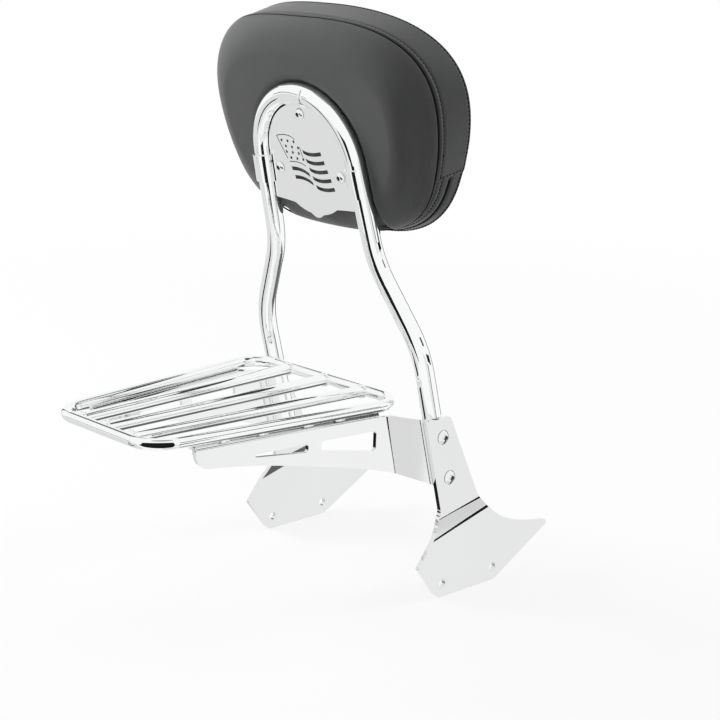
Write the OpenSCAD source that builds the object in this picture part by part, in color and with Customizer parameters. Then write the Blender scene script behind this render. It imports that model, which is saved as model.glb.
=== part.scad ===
// A bolt-on sissy bar with a padded backrest and a luggage rack, in millimetres.
// +X is the bike's right, +Y is forward, +Z is up, and x = 0 is the mid-plane.
// The origin lies on the axis of the two rear fender bolts, halfway between the plates.
// Sizes come from the picture, scaled by the tube, the screw heads and a 7 x 4 inch plate.
// The bent parts follow one plane: hoop_space() stands in it, with z along the legs.

/* [Backrest hoop] */
// Outside diameter of the hoop tube (3/4 inch)
tube_d = 19.05; // [16:0.05:25.4]
// Wall of the hoop tube
tube_wall = 2.1; // [1.5:0.1:3]
// Rearward lean of the hoop from upright
rake = 13.7; // [5:0.1:20]
// Where the plane of the hoop crosses the level of the fender bolts
hoop_foot_y = 36.9; // [20:0.1:60]
// Centre-line radius of the arch
arch_r = 65; // [55:0.5:80]
// Distance along the hoop from the bolt level to the middle of the arch
arch_z = 411; // [380:1:520]
// Outward splay of the upper legs
splay = 3.3; // [1:0.1:8]
// Angle of the slanted middle of each leg
mid_angle = 27.5; // [20:0.5:35]
// Half the distance between the lower legs
leg_x = 113; // [104:0.5:120]
// Height of the lower corner of the leg, before its bend is rounded
knee_z = 237; // [225:1:250]
// Centre-line radius of the four leg bends
bend_r = 102; // [70:1:120]
// Lower end of each leg
leg_end_z = 92; // [86:1:96]
// Distance from the leg axis to the flat on its outer side
leg_flat = 2.4; // [1.5:0.1:5]
// Upper end of that flat
leg_flat_z = 171; // [168:1:180]

// How much the tube's radius shrinks where it is drawn round a bend
bend_draw = 0.05; // [0.03:0.01:0.3]

/* [Insert plate] */
// Thickness of the insert plate
insert_t = 3; // [2:0.1:4]
// Gap between the edge of the insert plate and the tube
insert_gap = 1; // [0.6:0.1:2]
// Level of the lower corners of the insert plate
insert_corner_z = 367.5; // [360:0.5:376]
// Depth of the pointed bottom edge below the corners
insert_point = 14; // [6:0.5:20]
// Length of each ear along the tube
ear_len = 27; // [16:1:30]
// Thickness of each ear
ear_t = 1.8; // [1.2:0.1:3]
// How far each ear wraps round the tube, from the plate
ear_wrap = 138; // [100:1:150]
// Distance from the centre line of each leg in to the lower screws
insert_bolt_in = 22.35; // [18:0.05:26]
// Depth of the lower screws below the middle of the arch
insert_bolt_drop = 12; // [6:0.5:16]
// Depth of the upper screw below the centre line of the arch
insert_bolt_top = 20.1; // [18:0.1:26]

/* [Flag cut-out] */
// Upper edge of the top stripe above the centre of the arch
stripe_top = 9.7; // [6:0.1:14]
// Pitch of the stripes
stripe_pitch = 8.35; // [8:0.05:9]
// Height of each stripe slot
stripe_h = 3.6; // [2.5:0.1:4.2]
// Sideways step of each stripe, so that the flag leans
stripe_lean = 2.75; // [0:0.05:3.5]
// Width of the line round the star field
line_w = 0.8; // [0.5:0.1:1.2]
// Outer radius of each star
star_r = 2.2; // [1.5:0.1:2.4]
// Sideways pitch of the stars
star_pitch = 8.7; // [7:0.05:9]
// Pitch of the rows of stars
star_row = 5.45; // [4.8:0.05:5.6]

/* [Pad] */
// Half the width of the pad at its rear seam, before the taper
pad_w = 141; // [120:1:150]
// Height of the rear seam above its widest level
pad_up = 126; // [110:1:135]
// Depth of the rear seam below its widest level
pad_down = 77; // [70:1:90]
// Level of the rear seam's widest line
pad_z = 418; // [410:1:430]
// How much wider the rear seam gets towards its top
pad_taper = 0.17; // [0:0.01:0.25]
// Distance forward from the hoop plane to the rear seam, in the middle
pad_rear_seam = 14; // [12:0.5:24]
// Half the width of the pad at its front seam, before the taper
pad_front_w = 145; // [125:1:155]
// Height of the front seam above its widest level
pad_front_up = 127; // [110:1:135]
// Depth of the front seam below its widest level
pad_front_down = 95; // [80:1:105]
// Level of the front seam's widest line
pad_front_z = 420; // [410:1:430]
// How much wider the front seam gets towards its top
pad_front_taper = 0.23; // [0:0.01:0.3]
// Distance forward from the hoop plane to the front seam, in the middle
pad_front_seam = 50; // [40:1:70]
// How far the sides of the pad wrap forward of its middle
pad_wrap = 18; // [0:1:24]
// Height of the crowned front
pad_crown = 15; // [8:0.5:24]
// Width of the rolled edge round the back
pad_roll = 33; // [28:1:40]
// Thickness of the vinyl cover
cover_t = 1.5; // [1.2:0.1:2]
// Gap between the tube and the cover in the groove
groove_gap = 0.4; // [0.3:0.05:0.8]
// Thickness of the plate of the moulded base
base_t = 5; // [4:0.5:7]

/* [Side plates] */
// Level of the upper edge of each side plate
plate_top_z = 164.3; // [160:0.1:168]
// Front end of the foot
toe_y = 144.5; // [130:0.5:150]
// Radius of the rounded front end
toe_r = 3.2; // [2:0.1:4]
// Thickness of each side plate (3/16 inch)
plate_t = 4.8; // [4:0.1:6.4]
// Outward step of the foot
foot_step = 5; // [2:0.5:8]
// Upper bend line of that step
step_top_z = 71; // [68:0.5:76]
// Lower bend line of that step
step_low_z = 55.5; // [50:0.5:60]
// Level of the upper side-plate bolt along the leg
plate_bolt_top = 150; // [144:0.5:154]
// Pitch of the two side-plate bolts
plate_bolt_pitch = 43; // [36:0.5:46]
// Distance between the two fender bolts
fender_pitch = 70; // [60:0.5:76]
// Diameter of the fender-bolt holes
fender_hole = 8.7; // [8:0.1:10.5]
// Rounding of the plate below each fender-bolt hole
fender_lobe = 13; // [11:0.5:16]

/* [Rack] */
// Diameter of the rack tube and bars (7/16 inch)
rack_d = 11.1; // [9.5:0.1:12.7]
// Wall of the rack tube
rack_wall = 1.6; // [1.2:0.1:2.4]
// Level of the rack
rack_z = 183; // [180:0.5:190]
// Middle of the front tube
rack_front_y = -34.5; // [-40:0.5:-32]
// Middle of the rear tube
rack_rear_y = -298; // [-330:1:-280]
// Half the width of the rack at the front tube
rack_front_w = 108; // [100:0.5:110]
// Half the width of the rack at the rear tube
rack_rear_w = 72; // [66:0.5:80]
// Centre-line radius of the rear corners
rack_rear_r = 29.5; // [16:0.5:34]
// Centre-line radius of the front corners
rack_front_r = 27.5; // [14:0.5:32]
// Spacing of the bars at the front
bar_front = 54; // [46:0.5:56]
// Spacing of the bars at the rear
bar_rear = 37; // [33:0.5:38]

/* [Rack arms] */
// Thickness of each arm
arm_t = 4; // [3:0.1:5]
// Distance from the tube axis out to the face of the arm
arm_out = 2; // [1:0.5:5]
// Rear end of each arm
arm_rear_y = -257; // [-270:1:-245]
// Where the arm bends outward to its tab
arm_bend_y = -52; // [-58:1:-46]
// Width of the top flange
flange_w = 15; // [10:0.5:20]
// Front end of the top flange
flange_end_y = -64; // [-75:1:-60]
// Run of the crank from the bend out to the tab
crank = 34; // [28:1:40]
// Radius of the rounded lower rear corner
arm_end_r = 15; // [8:0.5:18]
// Upper edge of the two cut-outs
slot_top_z = 161.2; // [156:0.1:164]
// Rear end of the front cut-out
front_slot_y = -128; // [-135:0.5:-120]
// Length of the front cut-out
front_slot_len = 60; // [45:0.5:62]
// Height of the front cut-out at its front end
front_slot_h = 18.8; // [12:0.1:20]
// Rear end of the rear cut-out
rear_slot_y = -197.2; // [-205:0.1:-185]
// Length of the rear cut-out
rear_slot_len = 55.2; // [40:0.1:60]
// Height of the rear cut-out at its front end
rear_slot_h = 8; // [6:0.1:9]

/* [Fasteners] */
// Thread diameter of the side-plate bolts (5/16 inch)
plate_bolt_d = 7.94; // [6.35:0.01:9.53]
// Head diameter of the side-plate bolts
plate_head_d = 13.9; // [11:0.1:16.7]
// Head height of the side-plate bolts
plate_head_h = 4.2; // [3:0.1:5.2]
// Length of the side-plate bolts below the head
plate_bolt_len = 17; // [15:0.5:20]
// Thread diameter of the insert screws (1/4 inch)
insert_bolt_d = 6.35; // [5:0.05:7]
// Head diameter of the insert screws
insert_head_d = 11.1; // [9:0.1:12]
// Head height of the insert screws
insert_head_h = 3.4; // [2.5:0.1:4]
// Length of the insert screws below the head
insert_bolt_len = 19; // [17:0.5:22]
// Hex socket of the insert screws across its flats (5/32 inch)
insert_socket = 3.97; // [3:0.01:4.2]
// Hex socket of the side-plate bolts across its flats (3/16 inch)
plate_socket = 4.76; // [4:0.01:5.2]
// Radius of the flange of each T-nut
t_nut_r = 9.5; // [8:0.1:10]
// Thickness of that flange
t_nut_t = 1.6; // [1.2:0.1:2]
// Wall of the threaded barrel of each T-nut
t_nut_wall = 1.2; // [0.8:0.1:1.6]
// Length of that barrel
t_nut_len = 9; // [7:0.5:10]
// Radial clearance of a bolt in a plain hole
hole_gap = 0.38; // [0.2:0.02:0.8]
// Radial clearance drawn at a threaded or pressed fit
fit_gap = 0.1; // [0.05:0.01:0.2]

/* [Hidden] */
$fa = 4;
$fs = 0.8;

// How far each straight runs into the bends beside it.
lap = 0.5;
tube_r = tube_d / 2;
arch_end = [arch_r * cos(splay), arch_z + arch_r * sin(splay)];
// The upper and middle lines of a leg meet here before the bend is rounded.
hip_z = (arch_end[0] + arch_end[1] * tan(splay) - leg_x - knee_z * tan(mid_angle))
    / (tan(splay) - tan(mid_angle));
hip_x = leg_x + (knee_z - hip_z) * tan(mid_angle);
hip_cut = bend_r * tan((mid_angle - splay) / 2);
knee_cut = bend_r * tan(mid_angle / 2);
up_end = [hip_x - hip_cut * sin(splay), hip_z + hip_cut * cos(splay)];
mid_start = [hip_x + hip_cut * sin(mid_angle), hip_z - hip_cut * cos(mid_angle)];
mid_end = [leg_x - knee_cut * sin(mid_angle), knee_z + knee_cut * cos(mid_angle)];
low_start = [leg_x, knee_z - knee_cut];

tab_x = leg_x + leg_flat;
plate_x = tab_x + arm_t;
plate_out = plate_x + plate_t;
bolt_levels = [plate_bolt_top, plate_bolt_top - plate_bolt_pitch];
groove_r = tube_r + groove_gap;
island_y = insert_t / 2 + cover_t;
base_y = groove_r + cover_t + 2;
base_front = base_y + base_t;
insert_low = arch_z - insert_bolt_drop;
insert_points = [[0, arch_z + arch_r - insert_bolt_top],
    [insert_bolt_in - arch_r, insert_low], [arch_r - insert_bolt_in, insert_low]];
rack_r = rack_d / 2;
taper = atan((rack_front_w - rack_rear_w) / (rack_front_y - rack_rear_y));
chrome = [0.86, 0.87, 0.88];
vinyl = [0.08, 0.08, 0.09];

// Frames

module hoop_space() {
    translate([0, hoop_foot_y, 0])
        rotate([rake, 0, 0])
            children();
}

module flat_in_hoop(t) {
    rotate([90, 0, 0])
        translate([0, 0, -t / 2])
            linear_extrude(t)
                children();
}

module both_sides() {
    children();
    mirror([1, 0, 0])
        children();
}

// Points of a circular arc, from angle a to angle b.
function arc(c, r, a, b, n) =
    [for (i = [0:n]) [c[0] + r * cos(a + (b - a) * i / n), c[1] + r * sin(a + (b - a) * i / n)]];

// Points of a cubic curve, without its first point.
function curve(p, q, r, s, n) =
    [for (i = [1:n]) let (t = i / n, u = 1 - t)
        u * u * u * p + 3 * u * u * t * q + 3 * u * t * t * r + t * t * t * s];

// Backrest hoop, a tube bent in one plane

// Each rod runs a little way into the bends, which are drawn slightly thinner.
module rod(p, q, r) {
    d = q - p;
    u = d / norm(d);
    translate([p[0] - lap * u[0], 0, p[1] - lap * u[1]])
        rotate([0, atan2(d[0], d[1]), 0])
            cylinder(r = r, h = norm(d) + 2 * lap);
}

module bend(c, bend_radius, from, sweep, r) {
    translate([c[0], 0, c[1]])
        rotate([90, 0, 0])
            rotate([0, 0, from])
                rotate_extrude(angle = sweep)
                    translate([bend_radius, 0])
                        circle(r = r - bend_draw);
}

module upper_path(r) {
    bend([0, arch_z], arch_r, splay, 180 - 2 * splay, r);
    both_sides() {
        rod(up_end, arch_end, r);
        bend(up_end + bend_r * [cos(splay), sin(splay)], bend_r, 180 + splay,
            mid_angle - splay, r);
    }
}

module lower_path(r, end_z) {
    both_sides() {
        rod(mid_end, mid_start, r);
        bend([leg_x - bend_r, low_start[1]], bend_r, 0, mid_angle, r);
        rod([leg_x, end_z + lap], low_start, r);
    }
}

module hoop_path(r, end_z) {
    upper_path(r);
    lower_path(r, end_z);
}

module leg_flats() {
    both_sides()
        translate([tab_x, -tube_r - 1, leg_end_z - 10])
            cube([tube_r, tube_d + 2, leg_flat_z - leg_end_z + 10]);
}

module leg_bolt_bores(r, depth) {
    for (z = bolt_levels)
        translate([tab_x + 1, 0, z])
            rotate([0, -90, 0])
                cylinder(r = r, h = depth + 1);
}

module backrest_hoop() {
    color(chrome)
        hoop_space()
            difference() {
                hoop_path(tube_r, leg_end_z);
                hoop_path(tube_r - tube_wall, leg_end_z - 1);
                leg_flats();
            }
}

// Threaded bungs, solid bar pressed into the lower ends of the legs

module leg_bung() {
    hoop_space()
        difference() {
            translate([leg_x, 0, leg_end_z])
                cylinder(r = tube_r - tube_wall - fit_gap, h = leg_flat_z - leg_end_z + 8);
            leg_flats();
            leg_bolt_bores(plate_bolt_d / 2 + fit_gap, plate_bolt_len - plate_t - arm_t + 1);
        }
}

module leg_bung_right() {
    color([0.62, 0.63, 0.65])
        leg_bung();
}

module leg_bung_left() {
    color([0.62, 0.63, 0.65])
        mirror([1, 0, 0])
            leg_bung();
}

// Insert plate, sheet with three formed ears and a waving flag cut through it

module insert_outline() {
    inner = tube_r + insert_gap;
    edge_top = [arch_end[0] - inner * cos(splay), arch_end[1] - inner * sin(splay)];
    corner_x = edge_top[0] + (edge_top[1] - insert_corner_z) * tan(splay);
    low = insert_corner_z - insert_point;
    side = curve([corner_x, insert_corner_z], [0.62 * corner_x, insert_corner_z - 1.5],
        [0.28 * corner_x, insert_corner_z - 2], [0.14 * corner_x, low + 3.2], 12);
    tip = curve([0.14 * corner_x, low + 3.2], [0.08 * corner_x, low + 0.5],
        [0.04 * corner_x, low], [0, low], 5);
    half = concat([edge_top, [corner_x, insert_corner_z]], side, tip);
    circle(r = arch_r - inner);
    translate([0, -arch_z])
        polygon(concat(half, [for (i = [len(half) - 1:-1:0]) [-half[i][0], half[i][1]]]));
}

module ear_section() {
    inner = tube_r + 0.25;
    difference() {
        circle(r = inner + ear_t);
        circle(r = inner);
        // The wedge left open: the front of the tube and its outer side.
        polygon([[0, 0], [-60, -insert_t / 2 * 60 / inner], [-60, -60], [60, -60],
            [60, 60 * tan(180 - ear_wrap)]]);
    }
}

module side_ear() {
    along = arch_end[1] - ear_len / 2 - 4;
    x = arch_end[0] + (arch_end[1] - along) * tan(splay);
    translate([x, 0, along])
        rotate([0, -splay, 0])
            translate([0, 0, -ear_len / 2])
                linear_extrude(ear_len)
                    scale([1, -1])
                        ear_section();
}

module top_ear() {
    sweep = ear_len / arch_r * 180 / PI;
    translate([0, 0, arch_z])
        rotate([90, 0, 0])
            rotate([0, 0, 90 - sweep / 2])
                rotate_extrude(angle = sweep)
                    translate([arch_r, 0])
                        ear_section();
}

// The flag is drawn round the centre of the arch.

// One stripe slot, waved downward: it drops from its left end and then rises.
module stripe_right() {
    top = concat([[-5.7, 0]], curve([-5.7, 0], [-1, -2.8], [8, -2.8], [20, 0.3], 10));
    polygon(concat(top, [for (i = [len(top) - 1:-1:0]) top[i] + [0.8, -stripe_h]]));
}

module stripe_left() {
    top = concat([[-25.9, 0]], curve([-25.9, 0], [-17, 1.2], [-8, 0], [-1.4, -4], 10));
    polygon(concat(top, [for (i = [len(top) - 1:-1:0]) top[i] + [0.8, -stripe_h]]));
}

module star() {
    polygon([for (i = [0:9]) (i % 2 == 0 ? star_r : star_r * 0.45)
        * [sin(36 * i), cos(36 * i)]]);
}

module line_slot(points) {
    polygon(concat(points, [for (i = [len(points) - 1:-1:0]) points[i] - [0, line_w]]));
}

module flag() {
    for (i = [0:4])
        translate([i * stripe_lean, stripe_top - i * stripe_pitch])
            stripe_right();
    for (i = [0:1])
        translate([i * stripe_lean, stripe_top - 19.1 - i * stripe_pitch])
            stripe_left();
    for (row = [0:3], i = [0:2])
        translate([-33.7 + star_pitch * i + 2.4 * row + (row % 2 == 1 ? 2.6 : 0),
            16 - star_row * row])
            star();
    // Star field: upper edge, fly edge and lower edge as thin slots with bridges.
    line_slot(concat([[-39.8, 20.3]],
        curve([-39.8, 20.3], [-30, 23], [-20, 23.4], [-14.1, 18.7], 8)));
    line_slot(concat([[-27.4, -4.1]],
        curve([-27.4, -4.1], [-19, -3], [-11, -3], [-4.4, -6.1], 8)));
    polygon([[-39.8, 20.3], [-28.9, -1.6], [-28.9 - line_w, -2], [-39.8 - line_w, 19.9]]);
    polygon([[-8.9, 12], [-6.3, 2.2], [-6.3 - line_w, 2], [-8.9 - line_w, 11.8]]);
}

module insert_plate() {
    color(chrome)
        hoop_space() {
            translate([0, 0, arch_z])
                flat_in_hoop(insert_t)
                    difference() {
                        insert_outline();
                        flag();
                        for (p = insert_points)
                            translate(p - [0, arch_z])
                                circle(r = insert_bolt_d / 2 + hole_gap);
                    }
            both_sides()
                side_ear();
            top_ear();
        }
}

// Button-head socket screws

module button_screw(head_d, head_h, shank_d, shank_len, socket) {
    rim = head_h * 0.16;
    dome = head_h - rim;
    dome_r = (head_d * head_d / 4 + dome * dome) / (2 * dome);
    difference() {
        union() {
            intersection() {
                cylinder(d = head_d, h = head_h);
                translate([0, 0, head_h - dome_r])
                    sphere(r = dome_r);
            }
            translate([0, 0, -shank_len])
                cylinder(d = shank_d, h = shank_len + 0.5);
        }
        translate([0, 0, head_h - head_h * 0.62])
            cylinder(d = socket / cos(30), h = head_h, $fn = 6);
    }
}

module insert_screw(p) {
    color(chrome)
        hoop_space()
            translate([p[0], -insert_t / 2, p[1]])
                rotate([90, 0, 0])
                    button_screw(insert_head_d, insert_head_h, insert_bolt_d,
                        insert_bolt_len, insert_socket);
}

module insert_screw_top() {
    insert_screw(insert_points[0]);
}

module insert_screw_left() {
    insert_screw(insert_points[1]);
}

module insert_screw_right() {
    insert_screw(insert_points[2]);
}

module side_bolts() {
    for (z = bolt_levels)
        hoop_space()
            translate([plate_out, 0, z])
                rotate([0, 90, 0])
                    button_screw(plate_head_d, plate_head_h, plate_bolt_d,
                        plate_bolt_len, plate_socket);
}

module side_bolts_right() {
    color(chrome)
        side_bolts();
}

module side_bolts_left() {
    color(chrome)
        mirror([1, 0, 0])
            side_bolts();
}

// Pad: a moulded base with T-nuts, foam round it and a sewn vinyl cover

// One closed outline of the pad: half width a, height up and depth down from level zc,
// taper k, corner powers nt and nl, at y in the middle and wrapped forward at the sides.
function ring(y, a, up, down, k, zc, nt, nl, wrap) =
    [for (i = [0:55]) let (c = cos(360 * i / 56), s = sin(360 * i / 56),
        n = s >= 0 ? nt : nl, u = sign(c) * pow(abs(c), 2 / n),
        v = sign(s) * pow(abs(s), 2 / n), x = a * (1 + k * v) * u)
        [x, y + wrap * pow(x / pad_w, 2), zc + (s >= 0 ? up : down) * v]];

function mix(a, b, t) = a + (b - a) * t;

// Rings from the flat back, round the rolled edge, over the gusset to the crown.
// The value in is the distance that the surface lies inside the outer one.
function pad_rings(in) = concat(
    [for (i = [6:-1:1]) let (f = 15 * i, c = 1 - pow(cos(f), 1.25), s = pow(sin(f), 1.25),
        e = pad_roll * c + in)
        ring(pad_rear_seam - (pad_rear_seam - insert_t / 2 - in) * s, pad_w - e,
            pad_up - e, pad_down - e, pad_taper, pad_z, 2.75, 3.8, pad_wrap * (1 - s))],
    [for (i = [0:4]) let (t = i / 4, b = 2 * sin(180 * t) - in)
        ring(mix(pad_rear_seam, pad_front_seam, t), mix(pad_w, pad_front_w, t) + b,
            mix(pad_up, pad_front_up, t) + b, mix(pad_down, pad_front_down, t) + b,
            mix(pad_taper, pad_front_taper, t), mix(pad_z, pad_front_z, t),
            mix(2.75, 2.4, t), mix(3.8, 3.6, t), pad_wrap)],
    [for (q = [0.97, 0.91, 0.82, 0.7, 0.5, 0.25])
        ring(pad_front_seam + (pad_crown - in) * (1 - pow(q, 2.6)), (pad_front_w - in) * q,
            (pad_front_up - in) * q, (pad_front_down - in) * q, pad_front_taper,
            pad_front_z, 2.4, 3.6, pad_wrap)]);

module pad_solid(in) {
    rings = pad_rings(in);
    m = len(rings);
    n = 56;
    crown = [0, pad_front_seam + pad_crown - in, pad_front_z];
    polyhedron(points = concat([for (r = rings) each r], [crown]),
        faces = concat([[for (i = [n - 1:-1:0]) i]],
            [for (j = [0:m - 2], i = [0:n - 1])
                [j * n + i, (j + 1) * n + (i + 1) % n, (j + 1) * n + i]],
            [for (j = [0:m - 2], i = [0:n - 1])
                [j * n + i, j * n + (i + 1) % n, (j + 1) * n + (i + 1) % n]],
            [for (i = [0:n - 1]) [(m - 1) * n + i, (m - 1) * n + (i + 1) % n, m * n]]));
}

module screw_bores(r, from, to) {
    for (p = insert_points)
        translate([p[0], from, p[1]])
            rotate([-90, 0, 0])
                cylinder(r = r, h = to - from, $fn = 32);
}

module groove(r) {
    upper_path(r);
    both_sides()
        rod(mid_start + 20 * [sin(mid_angle), -cos(mid_angle)], mid_start, r);
}

module pad_cover() {
    color(vinyl)
        hoop_space()
            difference() {
                difference() {
                    pad_solid(0);
                    difference() {
                        pad_solid(cover_t);
                        groove(groove_r + cover_t);
                    }
                }
                groove(groove_r);
                screw_bores(insert_bolt_d / 2 + hole_gap, -2, island_y + 1);
            }
}

module base_island() {
    w = arch_r - groove_r - cover_t - 1;
    low = insert_bolt_drop + 26;
    intersection() {
        union() {
            circle(r = w);
            translate([-w, -low])
                square([2 * w, low]);
        }
        translate([-w, -low])
            square([2 * w, low + 2 * w]);
    }
}

module base_body() {
    translate([0, base_y + base_t / 2, 0])
        flat_in_hoop(base_t)
            polygon([for (p = ring(0, pad_w - pad_roll - 6, pad_up - pad_roll - 6,
                pad_down - pad_roll + 14, pad_taper, pad_z, 2.75, 3.8, 0)) [p[0], p[2]]]);
    translate([0, (island_y + base_y) / 2, arch_z])
        flat_in_hoop(base_y - island_y + 0.02)
            base_island();
}

module t_nuts(gap) {
    screw_bores(insert_bolt_d / 2 + t_nut_wall + gap, base_front - t_nut_len, base_front + 1);
    screw_bores(t_nut_r, base_front, base_front + t_nut_t);
}

module pad_base() {
    color([0.14, 0.14, 0.15])
        hoop_space()
            difference() {
                base_body();
                screw_bores(insert_bolt_d / 2 + hole_gap, 0, base_front + 1);
                screw_bores(insert_bolt_d / 2 + t_nut_wall + fit_gap,
                    base_front - t_nut_len - fit_gap, base_front + 1);
            }
}

module pad_t_nuts() {
    color([0.7, 0.69, 0.6])
        hoop_space()
            difference() {
                t_nuts(0);
                screw_bores(insert_bolt_d / 2 + fit_gap, base_front - 12, base_front + 4);
            }
}

module pad_foam() {
    color([0.75, 0.74, 0.68])
        hoop_space()
            difference() {
                pad_solid(cover_t);
                groove(groove_r + cover_t);
                base_body();
                t_nuts(0);
                screw_bores(insert_bolt_d / 2 + fit_gap, base_front, base_front + 4);
            }
}

// Side plates, 3/16 inch sheet with an outward step above the foot

// The outline seen from the side: a straight leg that flares into the foot.
module side_outline() {
    front = curve([49, 83], [62, 57], [88, 40], [toe_y - 0.5, 29.3 + toe_r], 14);
    tip = arc([toe_y, 29.2], toe_r, 80, -50, 6);
    under = arc([fender_pitch, 0], fender_lobe, -65, -90, 4);
    back = arc([0, 0], fender_lobe, -90, -150, 8);
    heel = [[-31.6, 21.4], [-31.2, 24]];
    rise = curve([-31.2, 24], [-14, 45], [2, 61], [0.5, 74], 12);
    top = [[-18.2, plate_top_z], [9.8, plate_top_z], [12.4, plate_top_z - 3.3], [49, 83]];
    polygon(concat(top, front, tip, under, back, heel, rise, [[-20.9, plate_top_z - 2.7]]));
}

// The bent sheet seen along its bend lines, in the plane across the leg.
module side_profile() {
    slope = atan(foot_step / (step_top_z - step_low_z));
    lift = plate_t * tan(slope / 2);
    polygon([[plate_x, 220], [plate_x, step_top_z - lift / 2],
        [plate_x + foot_step, step_low_z - lift / 2], [plate_x + foot_step, -40],
        [plate_out + foot_step, -40], [plate_out + foot_step, step_low_z + lift / 2],
        [plate_out, step_top_z + lift / 2], [plate_out, 220]]);
}

module side_plate() {
    difference() {
        intersection() {
            rotate([90, 0, 90])
                linear_extrude(plate_out + foot_step + 20)
                    side_outline();
            hoop_space()
                translate([0, 200, 0])
                    rotate([90, 0, 0])
                        linear_extrude(400)
                            side_profile();
        }
        hoop_space()
            for (z = bolt_levels)
                translate([tab_x, 0, z])
                    rotate([0, 90, 0])
                        cylinder(r = plate_bolt_d / 2 + hole_gap, h = 30);
        for (y = [0, fender_pitch])
            translate([tab_x, y, 0])
                rotate([0, 90, 0])
                    cylinder(d = fender_hole, h = 30);
    }
}

module side_plate_right() {
    color(chrome)
        side_plate();
}

module side_plate_left() {
    color(chrome)
        mirror([1, 0, 0])
            side_plate();
}

// Rack: a bent tube loop with three coped bars

function rack_half(y) =
    rack_rear_w + (rack_front_w - rack_rear_w) * (y - rack_rear_y) / (rack_front_y - rack_rear_y);

module bar_between(p, q, r) {
    d = q - p;
    translate([p[0], p[1], 0])
        rotate([0, 0, atan2(d[1], d[0])])
            rotate([0, 90, 0])
                cylinder(r = r, h = norm(d));
}

module corner(c, radius, from, sweep, r) {
    translate([c[0], c[1], 0])
        rotate([0, 0, from])
            rotate_extrude(angle = sweep)
                translate([radius, 0])
                    circle(r = r - bend_draw);
}

// The loop is four straight tubes joined by corners that turn 90 degrees, less the taper.
module loop_path(r) {
    rear_cut = rack_rear_r * tan((90 - taper) / 2);
    front_cut = rack_front_r * tan((90 + taper) / 2);
    side = [sin(taper), cos(taper)];
    rear_mid = [rack_rear_w - rear_cut, rack_rear_y + rack_rear_r];
    front_mid = [rack_front_w - front_cut, rack_front_y - rack_front_r];
    both_sides() {
        bar_between([rack_rear_w, rack_rear_y] + (rear_cut - lap) * side,
            [rack_front_w, rack_front_y] - (front_cut - lap) * side, r);
        corner(rear_mid, rack_rear_r, -90, 90 - taper, r);
        corner(front_mid, rack_front_r, -taper, 90 + taper, r);
    }
    bar_between([-rear_mid[0] - lap, rack_rear_y], [rear_mid[0] + lap, rack_rear_y], r);
    bar_between([-front_mid[0] - lap, rack_front_y], [front_mid[0] + lap, rack_front_y], r);
}

module rack_loop() {
    color(chrome)
        translate([0, 0, rack_z])
            difference() {
                loop_path(rack_r);
                loop_path(rack_r - rack_wall);
            }
}

// A round bar, coped at both ends to sit against the loop.
module rack_bar(rear, front) {
    color(chrome)
        translate([0, 0, rack_z])
            difference() {
                bar_between([rear, rack_rear_y], [front, rack_front_y], rack_r);
                bar_between([-rack_front_w, rack_rear_y], [rack_front_w, rack_rear_y],
                    rack_r + 0.02);
                bar_between([-rack_front_w, rack_front_y], [rack_front_w, rack_front_y],
                    rack_r + 0.02);
            }
}

module rack_bar_left() {
    rack_bar(-bar_rear, -bar_front);
}

module rack_bar_centre() {
    rack_bar(0, 0);
}

module rack_bar_right() {
    rack_bar(bar_rear, bar_front);
}

// Rack arms, formed plate: an upright web with a top flange, cranked out to a tab

// The arm seen from the side, with its tab round the two bolts.
module arm_outline() {
    z_top = rack_z - rack_r;
    polygon(concat([[arm_rear_y, z_top], [-66, z_top]],
        curve([-66, z_top], [-58, z_top - 1], [-50, 172], [-18, 165], 8),
        [[2, 163], [8.5, 157], [20, 118], [19, 108], [12, 98.5], [-1.2, 96.7],
        [-44, 115.5]],
        curve([-44, 115.5], [-64, 123], [-99, 131], [-150, 141.5], 8),
        curve([-150, 141.5], [-185, 148.5], [-215, 153.5], [arm_rear_y + arm_end_r, 155], 8),
        arc([arm_rear_y + arm_end_r, 155 + arm_end_r], arm_end_r, -90, -180, 8)));
}

// A hole with rounded corners: p and q are the ends of its upper edge, and it
// is rear_h high at p and front_h high at q.
module slot_shape(p, q, rear_h, front_h, r) {
    front_r = 2 * min(r, 1.3);
    hull() {
        for (y = [p[1] - r, p[1] - rear_h + r])
            translate([p[0] + r, y])
                circle(r = r, $fn = 24);
        for (y = [q[1] - front_r, q[1] - front_h + front_r])
            translate([q[0] - front_r, y])
                circle(r = front_r, $fn = 24);
    }
}

module arm_slots() {
    front = front_slot_y + front_slot_len;
    slot_shape([front_slot_y, slot_top_z], [front, slot_top_z],
        front_slot_h / 2, front_slot_h, 2.5);
    slot_shape([rear_slot_y, slot_top_z - 1], [rear_slot_y + rear_slot_len, slot_top_z],
        2.6, rear_slot_h, 1.2);
}

// The bent sheet seen along its bend lines, which lean with the hoop.
module arm_plan() {
    y1 = (arm_bend_y - hoop_foot_y) * cos(rake) + 145 * sin(rake);
    y0 = y1 - 240;
    y2 = y1 + crank;
    x1 = rack_half(arm_bend_y) + arm_out;
    slope = tan(taper) / cos(rake);
    inner = arm_t / cos(taper);
    polygon([[x1 - slope * (y1 - y0), y0], [x1, y1], [plate_x, y2], [plate_x, y2 + 70],
        [tab_x, y2 + 70], [tab_x, y2 + 1.2], [x1 - inner, y1 + 0.6],
        [x1 - inner - slope * (y1 - y0), y0]]);
}

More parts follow.
